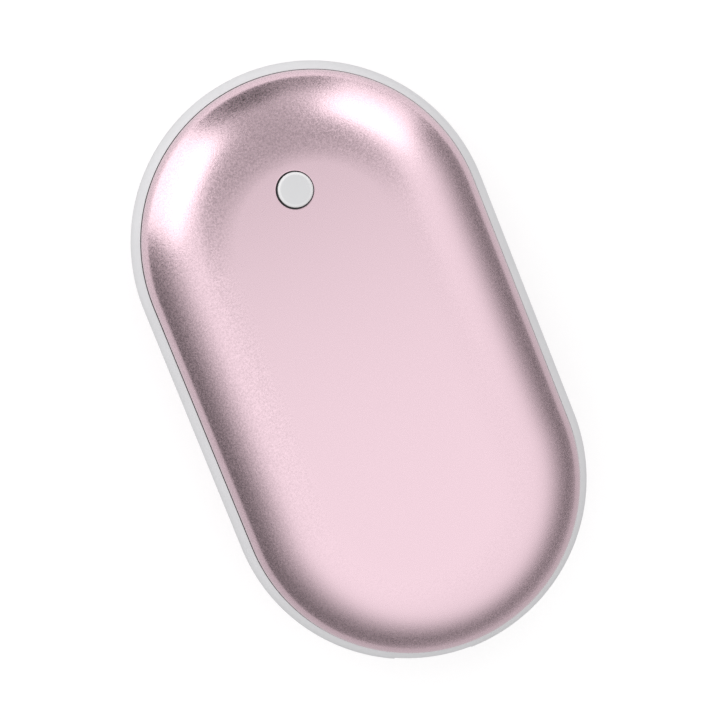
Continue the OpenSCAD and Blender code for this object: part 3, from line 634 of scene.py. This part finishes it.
def press_shell(name, node, face_z, up, hole):
    bm = bmesh.new()
    rings = sweep_rings(bm, [(r, face_z - up * h) for r, h in shell_curve()])
    outer, inner = rings[0], rings[-1]
    if hole:
        rounded = quarter((0, 0), EDGE_ROUND, 0)[::-1]
        steps = [(HOLE_R + EDGE_ROUND - x, EDGE_ROUND - y) for x, y in rounded]
        steps = [(HOLE_R + 1.5 * EDGE_ROUND, 0), *steps, (HOLE_R, WALL)]
        punched = [circle_ring(bm, HOLE_AT, r, face_z - up * h) for r, h in steps]
        for a, b in zip(punched, punched[1:]):
            join_rings(bm, a, b)
        fill_between(bm, outer, punched[0])
        fill_between(bm, inner, punched[-1])
    else:
        fill_between(bm, outer)
        fill_between(bm, inner)
    make_piece(name, bm, rose_metal, "case", [node])


press_shell("pressed_front_shell", "front_shell", BODY_T, up=1, hole=True)
press_shell("pressed_rear_shell", "rear_shell", 0, up=-1, hole=False)

# %% [markdown]
# ## The band
# The band is moulded in a pale satin plastic. Its outside is one full curve, its inside carries a
# ledge for the liners to snap on and the screws to pull on, and two slots and four pinholes are cut
# at the end for the ports and lights. A narrow groove runs where it meets each shell, and the groove
# and the hidden inside are painted dark as shade. The ring is swept like the shells, and the openings
# are cut with booleans, because they cross the curve at an angle that no ring of the sweep follows.

# %% Mould the pale plastic
PALE = (0.65, 0.645, 0.66)


def moulded(name, colour, gloss, grain_mm=0.18, depth_mm=0.006, mottle=0.015):
    """Moulded plastic: a fine eroded grain from the tool and a faint mottle of colour and gloss."""
    f = Finish(name)
    grain = f.noise(grain_mm, detail=2.0)
    patch = f.noise(6.0, detail=2.0)
    f.colour(f.colours(f.ranged(patch, 0.3, 0.7), shaded(colour, 1 - mottle), shaded(colour, 1 + mottle)))
    f.gloss(f.ranged(grain, 0.3, 0.7, gloss - 0.04, gloss + 0.04))
    return f.dents(grain, depth_mm, 0.5)


def laid_over(f, mask, above):
    """Lays another colour over a finish where the mask is 1."""
    base = f.shader.inputs["Base Color"].links[0].from_socket
    return f.colour(f.over(mask, base, above))


SEAM_W, SEAM_DEEP, SEAM_LIP = 0.18, 0.9, 0.05
# painted shade: the dark colour and its share laid over the seam's groove and the hidden inside
SEAM_SHADE, SEAM_SHADE_SHARE = (0.16, 0.115, 0.12), 0.6


def band_finish():
    """The pale plastic, with painted shade in the seam's groove, which also darkens the hidden inside."""
    f = moulded("band_plastic", PALE, 0.42)
    r = f.from_spine()
    # painted shade: everything inward of the groove's outer wall is made dark
    groove_shade = f.ranged(r, (RIM_R + SEAM_W + 0.02) * MM, (RIM_R + SEAM_W + 0.05) * MM, 1.0, 0.0)
    return laid_over(f, f.math("MULTIPLY", groove_shade, SEAM_SHADE_SHARE), SEAM_SHADE).material


band_plastic = band_finish()

# %% Sweep the band
BAND_H, BAND_PROUD, BAND_IN_R, WEB_R, WEB_T = 7.6, 1.9, 26.45, 23.5, 1.6
BULGE_R = ((BAND_H / 2) ** 2 + BAND_PROUD**2) / (2 * BAND_PROUD)


def band_curve(steps=28):
    """The band's closed section, as (distance from the spine, height from the middle)."""
    half = BAND_H / 2
    seam_r = RIM_R + SEAM_W
    tilt_top = math.acos((seam_r + SEAM_LIP - END_R + BULGE_R) / BULGE_R)
    outside = [
        (END_R - BULGE_R + BULGE_R * math.cos(a), BULGE_R * math.sin(a))
        for a in (-tilt_top + 2 * tilt_top * i / steps for i in range(steps + 1))
    ]
    lip = outside[-1][1] + SEAM_LIP / 2
    floor, inner_r = half - SEAM_DEEP, RIM_R - SEAM_W
    groove = [(seam_r, lip), (seam_r, floor), (inner_r, floor), (inner_r, half)]
    top = groove + [(BAND_IN_R, half), (BAND_IN_R, WEB_T / 2), (WEB_R, WEB_T / 2)]
    bottom = [(r, -z) for r, z in top][::-1]
    return outside + top + bottom


def closed_sweep(bm, curve):
    rings = sweep_rings(bm, curve)
    join_rings(bm, rings[-1], rings[0])


band_bm = bmesh.new()
closed_sweep(band_bm, [(r, BODY_T / 2 + z) for r, z in band_curve()])
print("band section has", len(band_curve()), "points")


# %% Cut the ports and pinholes
def block(lo, hi, corner=0.0, steps=6):
    """A box in mm whose long edges along Y have round corners."""
    bm = bmesh.new()
    x0, x1, z0, z1 = lo[0], hi[0], lo[2], hi[2]
    if corner:
        left, right, low, high = x0 + corner, x1 - corner, z0 + corner, z1 - corner
        middles = ((right, high), (left, high), (left, low), (right, low))
        outline = [p for i, mid in enumerate(middles) for p in quarter(mid, corner, 90 * i, steps)]
    else:
        outline = [(x1, z1), (x0, z1), (x0, z0), (x1, z0)]
    ends = [[bm.verts.new((x, y, z)) for x, z in outline] for y in (lo[1], hi[1])]
    join_rings(bm, *ends)
    for end in ends:
        bm.faces.new(end)
    return bm


def rod(centre, r, length, axis, steps=48):
    """A cylinder in mm that starts at centre and runs along +Y or +Z."""
    bm = bmesh.new()
    ends = []
    for d in (0, length):
        ring = []
        for u, v in circle(r, steps):
            offset = (u, d, v) if axis == "Y" else (u, v, d)
            ring.append(bm.verts.new([a + b for a, b in zip(centre, offset)]))
        ends.append(ring)
    join_rings(bm, *ends)
    for end in ends:
        bm.faces.new(end)
    return bm


def as_object(bm, name):
    bmesh.ops.recalc_face_normals(bm, faces=bm.faces)
    mesh = bpy.data.meshes.new(name)
    bm.to_mesh(mesh)
    bm.free()
    made = bpy.data.objects.new(name, mesh)
    bpy.context.scene.collection.objects.link(made)
    return made


def cut_and_join(bm, tools):
    """Adds or takes away each (how, bmesh) in turn and returns the result as a new bmesh."""
    base = as_object(bm, "blank")
    helpers = []
    for how, tool in tools:
        helper = as_object(tool, "tool")
        helpers.append(helper)
        step = base.modifiers.new("step", "BOOLEAN")
        step.operation, step.object, step.solver = how, helper, "EXACT"
    evaluated = base.evaluated_get(bpy.context.evaluated_depsgraph_get())
    result = bmesh.new()
    result.from_mesh(evaluated.to_mesh())
    evaluated.to_mesh_clear()
    for used in (base, *helpers):
        bpy.data.objects.remove(used)
    return result


MID = BODY_T / 2
OUTSIDE = -60.0
USB_A_X, USB_A_DROP = -6.8, 0.4
USB_A_Z = MID - USB_A_DROP
USB_A_POCKET, USB_A_WALL_Y = (13.5, 6.1), -44.677
USB_A_WINDOW = (12.4, 4.9)
MICRO_X, MICRO_HOLE = 5.9, (7.9, 2.9)
PORT_CORNER = 0.35
LIGHT_X, LIGHT_PITCH, LIGHT_COUNT = 12.0, 1.6, 4
LIGHT_XS = [LIGHT_X + LIGHT_PITCH * i for i in range(LIGHT_COUNT)]
LIGHT_HOLE_R, LIGHT_HOLE_L = 0.63, 22
PORT_IN = -END_Y - WEB_R / 2
BAY_LOW = USB_A_POCKET[1] / 2 + MID - USB_A_Z
BAY_PAST = 1.2  # how far the bay runs past the last light
LUG_R, SHANK_HOLE_R, SHANK_HOLE_L = 2.25, 1.1, 4
SCREW_IN, SCREW_Y = 3, 14
SCREW_SPOTS = [(sx * (BAND_IN_R - SCREW_IN), sy * SCREW_Y) for sx in (-1, 1) for sy in (-1, 1)]


def port_block(x, z, size, start, corner=0.0):
    w, h = size[0] / 2, size[1] / 2
    return block((x - w, start, z - h), (x + w, PORT_IN, z + h), corner)


tools = [("UNION", rod((x, y, MID - WEB_T / 2), LUG_R, WEB_T, "Z")) for x, y in SCREW_SPOTS]
hole_low = MID - SHANK_HOLE_L / 2
tools += [("DIFFERENCE", rod((x, y, hole_low), SHANK_HOLE_R, SHANK_HOLE_L, "Z")) for x, y in SCREW_SPOTS]
tools += [
    ("DIFFERENCE", port_block(USB_A_X, USB_A_Z, USB_A_POCKET, USB_A_WALL_Y)),
    ("DIFFERENCE", port_block(USB_A_X, USB_A_Z, USB_A_WINDOW, OUTSIDE, PORT_CORNER)),
    ("DIFFERENCE", port_block(MICRO_X, MID, MICRO_HOLE, OUTSIDE, PORT_CORNER)),
]
tools += [("DIFFERENCE", rod((x, OUTSIDE, MID), LIGHT_HOLE_R, LIGHT_HOLE_L, "Y")) for x in LIGHT_XS]
bay = bmesh.new()
rings = sweep_rings(bay, [(BAND_IN_R, MID - BAY_LOW), (BAND_IN_R, MID + BAY_LOW)])
for ring in rings:
    bay.faces.new(ring)
bay_left, bay_right = USB_A_X - USB_A_POCKET[0] / 2, LIGHT_XS[-1] + BAY_PAST
behind = block((bay_left, OUTSIDE, 0), (bay_right, PORT_IN, BODY_T))
tools.append(("DIFFERENCE", cut_and_join(bay, [("INTERSECT", behind)])))
band_bm = cut_and_join(band_bm, tools)
BAND_SHARP = math.radians(28)
make_piece("moulded_band", band_bm, band_plastic, "case", ["mid_band"], BAND_SHARP)

# %% [markdown]
# ## The push button
# The button is a small turned shape: a cap with a softly rounded edge, a flange that keeps it under the
# shell, and a stem that reaches down to the switch. It could be joined from three cylinders, but a
# lathe curve gives all of it in one closed skin. The cap's top is a hair higher in the middle, as
# moulded caps are. A ring on its round edge is painted paler as a highlight, and its side down in the
# gap is painted dark as shade, less so on the right, where the gap is narrow.

# %% Turn the button
BUTTON_AT = (0.0, 29.5)
CAP_R, CAP_TOP, CAP_ROUND, CAP_CROWN, CROWN_STEPS = 2.75, 25.4, 0.5, 0.03, 6
FLANGE_R, FLANGE_TOP, FLANGE_LOW = 4.0, 24.15, 23.45
STEM_R, STEM_END, STEM_BEVEL = 1.6, 20.9, 0.15
# the second colour paints a highlight on the cap's round edge, the third paints shade on its side in the
# gap
BUTTON_PALE, BUTTON_EDGE_HIGHLIGHT, GAP_SHADE = (0.60, 0.60, 0.61), (0.80, 0.80, 0.80), (0.03, 0.026, 0.028)
GAP_SHADE_Z, GAP_SHADE_X = (24.85, 25.05), (1.2, 2.6)  # fades upwards, and towards the right side


def turned(bm, centre, curve, steps=128):
    """Turns a curve of (r, z) about an upright axis. The curve starts and ends on the axis."""
    rings = [circle_ring(bm, centre, r, z, steps) for r, z in curve if r > 0]
    for a, b in zip(rings, rings[1:]):
        join_rings(bm, a, b)
    for ring, z in ((rings[0], curve[0][1]), (rings[-1], curve[-1][1])):
        tip = bm.verts.new((centre[0], centre[1], z))
        for i, v in enumerate(ring):
            bm.faces.new((v, ring[(i + 1) % steps], tip))


def cap_curve():
    flat = CAP_R - CAP_ROUND
    crown = [
        (flat * i / CROWN_STEPS, CAP_TOP - CAP_CROWN * (i / CROWN_STEPS) ** 2) for i in range(CROWN_STEPS)
    ]
    shoulder = CAP_TOP - CAP_CROWN - CAP_ROUND
    edge = quarter((flat, shoulder), CAP_ROUND, 0, 10)[::-1]
    low = [(CAP_R, FLANGE_TOP), (FLANGE_R, FLANGE_TOP), (FLANGE_R, FLANGE_LOW), (STEM_R, FLANGE_LOW)]
    stem = [(STEM_R, STEM_END + STEM_BEVEL), (STEM_R - STEM_BEVEL, STEM_END), (0, STEM_END)]
    return crown + edge + low + stem


def button_finish():
    """The pale plastic, with a painted highlight on the round edge and painted shade down in the gap."""
    f = moulded("button_plastic", BUTTON_PALE, 0.36, depth_mm=0.004)
    r, z = f.from_axis(*BUTTON_AT), f.along("Z")
    # painted highlight: a ring on the cap's round edge is made paler
    edge_highlight = f.ranged(r, (CAP_R - CAP_ROUND - 0.1) * MM, (CAP_R - 0.2) * MM, 0.0, 0.6, smooth=True)
    laid_over(f, edge_highlight, BUTTON_EDGE_HIGHLIGHT)
    # painted shade: the cap's side below the shell's face is made dark, less so on the right
    deep = f.ranged(z, GAP_SHADE_Z[0] * MM, GAP_SHADE_Z[1] * MM, 0.92, 0.0)
    gap_shade = f.math("MULTIPLY", deep, f.ranged(f.along("X"), GAP_SHADE_X[0] * MM, GAP_SHADE_X[1] * MM, 1.0, 0.3))
    return laid_over(f, gap_shade, GAP_SHADE).material


button_plastic = button_finish()
button_bm = bmesh.new()
turned(button_bm, BUTTON_AT, cap_curve())
make_piece("turned_button", button_bm, button_plastic, "button", ["power_button"])

# %% [markdown]
# ## Everything behind the ports and inside
# The other solids keep their own meshes. Most lie sealed inside, but the mouths of the two sockets, the
# contacts and the ends of the light rods show at the port end, and a part that is taken apart on a
# screen shows them all. So each slot of the record gets a finish from the same few tools: moulded
# grain for plastics, long scratches for rolled sheet, weave for the board, cells for foam.

# %% Roll, plate and sinter the metals
def rolled_metal(name, colour, gloss, along="Y", streak_mm=0.05, depth_mm=0.002):
    """Sheet metal: fine streaks along the rolling direction."""
    f = Finish(name).set(Metallic=1.0)
    stretch = {"X": (0.03, 1, 1), "Y": (1, 0.03, 1), "Z": (1, 1, 0.03)}[along]
    streak = f.noise(streak_mm * 2, detail=2.0, stretch=stretch)
    f.colour(f.colours(f.ranged(streak, 0.3, 0.7), shaded(colour, 0.93), shaded(colour, 1.03)))
    f.gloss(f.ranged(streak, 0.3, 0.7, gloss - 0.06, gloss + 0.08))
    return f.dents(streak, depth_mm, 0.5).material


def pressed_powder(name, colour, gloss, grain_mm):
    """Ferrite and ceramic: a dull body with small pits and specks."""
    f = Finish(name)
    speck = f.noise(grain_mm, detail=4.0, rough=0.7)
    f.colour(f.colours(f.ranged(speck, 0.35, 0.65), shaded(colour, 0.8), shaded(colour, 1.2)))
    f.gloss(f.ranged(speck, 0.3, 0.7, gloss - 0.08, gloss + 0.08))
    return f.dents(speck, 0.006, 0.6).material


# %% Mix the board, the film and the foam
def circuit_board():
    f = Finish("circuit_board").set(Coat_Weight=0.4, Coat_Roughness=0.15)
    warp = f.noise(0.35, detail=0.0, stretch=(1, 0.12, 1))
    weft = f.noise(0.35, detail=0.0, stretch=(0.12, 1, 1))
    weave = f.math("MAXIMUM", warp, weft)
    f.colour(f.colours(f.ranged(weave, 0.35, 0.75), (0.012, 0.075, 0.03), (0.03, 0.14, 0.06)))
    f.gloss(f.ranged(weave, 0.3, 0.8, 0.28, 0.4))
    return f.dents(weave, 0.008, 0.5).material


def heater_film():
    """Amber film over a track of etched foil that runs to and fro."""
    f = Finish("heater_film").set(Coat_Weight=0.3, Coat_Roughness=0.2)
    stripe = f.math("PINGPONG", f.along("Y"), 1.2 * MM)
    track = f.ranged(stripe, 0.55 * MM, 0.7 * MM, smooth=True)
    haze = f.noise(3.0)
    film = f.colours(f.ranged(haze, 0.3, 0.7), (0.42, 0.17, 0.03), (0.5, 0.21, 0.04))
    f.colour(f.over(track, film, (0.30, 0.12, 0.045)))
    f.gloss(f.ranged(haze, 0.3, 0.7, 0.3, 0.4))
    return f.dents(track, 0.01, 0.5).material


def open_foam():
    f = Finish("foam")
    cells = f.noise(0.3, detail=3.0, rough=0.7)
    f.colour(f.colours(f.ranged(cells, 0.35, 0.65), (0.09, 0.09, 0.1), (0.2, 0.2, 0.21)))
    f.gloss(f.ranged(cells, 0.3, 0.7, 0.85, 0.98))
    return f.dents(cells, 0.08, 0.8).material


def cell_pouch():
    """Aluminium laminate with a soft emboss and small creases."""
    f = Finish("cell_pouch").set(Metallic=0.85)
    emboss = f.noise(1.4, detail=1.0)
    crease = f.noise(7.0, detail=4.0, rough=0.6, stretch=(1, 0.4, 1))
    f.colour(f.colours(f.ranged(crease, 0.3, 0.7), (0.5, 0.5, 0.51), (0.62, 0.62, 0.63)))
    f.gloss(f.ranged(emboss, 0.3, 0.7, 0.34, 0.46))
    return f.dents(emboss, 0.02, 0.5).dents(crease, 0.08, 0.4).material


def paper_tape():
    f = Finish("bond_tape")
    fibre = f.noise(0.4, detail=4.0, rough=0.7, stretch=(1, 0.3, 1))
    f.colour(f.colours(f.ranged(fibre, 0.3, 0.7), (0.6, 0.59, 0.56), (0.72, 0.71, 0.68)))
    f.gloss(f.ranged(fibre, 0.3, 0.7, 0.6, 0.75))
    return f.dents(fibre, 0.01, 0.6).material


# %% Mould the lights and the rods
def light_emitter():
    """The phosphor window of an unlit lamp in its pale case."""
    f = Finish("light_emitter").set(Coat_Weight=0.5, Coat_Roughness=0.1)
    phosphor = f.noise(0.12, detail=3.0)
    f.colour(f.colours(f.ranged(phosphor, 0.3, 0.7), (0.62, 0.55, 0.2), (0.78, 0.72, 0.38)))
    f.gloss(f.ranged(phosphor, 0.3, 0.7, 0.3, 0.42))
    return f.dents(phosphor, 0.004, 0.5).material


def clear_rod():
    """Clear plastic that carries the light; its faces are a little frosted by the tool."""
    f = Finish("clear_rod").set(Transmission_Weight=0.85, IOR=1.58)
    frost = f.noise(0.08, detail=2.0)
    f.colour(f.colours(f.ranged(frost, 0.3, 0.7), (0.86, 0.87, 0.88), (0.93, 0.94, 0.95)))
    f.gloss(f.ranged(frost, 0.3, 0.7, 0.16, 0.3))
    return f.dents(frost, 0.002, 0.4).material


def insulation(name, colour):
    """Soft wire insulation, a little waxy, with drawing marks along the wire."""
    f = Finish(name)
    mark = f.noise(0.25, detail=2.0, stretch=(1, 0.2, 1))
    f.colour(f.colours(f.ranged(mark, 0.3, 0.7), shaded(colour, 0.92), shaded(colour, 1.05)))
    f.gloss(f.ranged(mark, 0.3, 0.7, 0.38, 0.5))
    return f.dents(mark, 0.006, 0.5).material


# %% Give each solid its finish
finishes = {
    "anodised_aluminium": rose_metal,
    "band_plastic": band_plastic,
    "button_plastic": button_plastic,
    "liner_plastic": moulded("liner_plastic", (0.045, 0.045, 0.05), 0.5, 0.3, 0.01).material,
    "bond_tape": paper_tape(),
    "circuit_board": circuit_board(),
    "steel": rolled_metal("steel", (0.6, 0.61, 0.63), 0.26),
    "black_moulding": moulded("black_moulding", (0.018, 0.018, 0.02), 0.38, 0.2, 0.005).material,
    "white_moulding": moulded("white_moulding", (0.7, 0.69, 0.66), 0.42, 0.2, 0.005).material,
    "heater_film": heater_film(),
    "foam": open_foam(),
    "cell_pouch": cell_pouch(),
    "contact_metal": rolled_metal("contact_metal", (0.83, 0.62, 0.28), 0.24),
    "ferrite": pressed_powder("ferrite", (0.06, 0.06, 0.062), 0.6, 0.25),
    "chip_ceramic": pressed_powder("chip_ceramic", (0.3, 0.23, 0.16), 0.5, 0.15),
    "light_emitter": light_emitter(),
    "clear_rod": clear_rod(),
    "wire_red": insulation("wire_red", (0.5, 0.02, 0.015)),
    "wire_white": insulation("wire_white", (0.72, 0.72, 0.7)),
    "wire_yellow": insulation("wire_yellow", (0.72, 0.5, 0.03)),
}
slot_of = {s["node"]: s["material_slot"] for s in frame["record"]["subparts"]}
for node, solid in frame["nodes"].items():
    solid.data.materials.clear()
    solid.data.materials.append(finishes[slot_of[node]])
print(len(frame["nodes"]), "solids have", len(set(slot_of.values())), "finishes")

# %% [markdown]
# ## The snap dome of the switch
# Under the plunger sits a dome of thin spring steel that snaps flat on the contact when the button is
# pressed. A stiff solid can't give way, and a hinge doesn't describe it, so the dome is turned once
# more from its own box and given a mesh of its own. Nothing in this script flattens it.

# %% Turn the dome and give it its own mesh
DOME_SHEET, DOME_GIVE, DOME_SLACK = 0.1, 0.3, 0.01
dome_low, dome_high = (corner / MM for corner in map(Vector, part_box("switch_dome")))
dome_at = ((dome_low.x + dome_high.x) / 2, (dome_low.y + dome_high.y) / 2)
dome_h, outer_r = dome_high.z - dome_low.z, (dome_high.x - dome_low.x) / 2
ball_r = (outer_r**2 + dome_h**2) / (2 * dome_h)


def cap_arc(r, steps=14):
    """Points from the top of a ball of radius r down to the dome's foot."""
    foot = math.acos((ball_r - dome_h) / r)
    return [
        (r * math.sin(foot * i / steps), dome_high.z - ball_r + r * math.cos(foot * i / steps))
        for i in range(steps + 1)
    ]


dome_bm = bmesh.new()
turned(dome_bm, dome_at, cap_arc(ball_r) + cap_arc(ball_r - DOME_SHEET)[::-1], 96)
dome = make_piece("snap_dome", dome_bm, finishes["steel"], "case", ["switch_dome"])
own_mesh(dome)
print("dome", round(dome_h, 3), "mm high,", round(2 * outer_r, 2), "mm across")
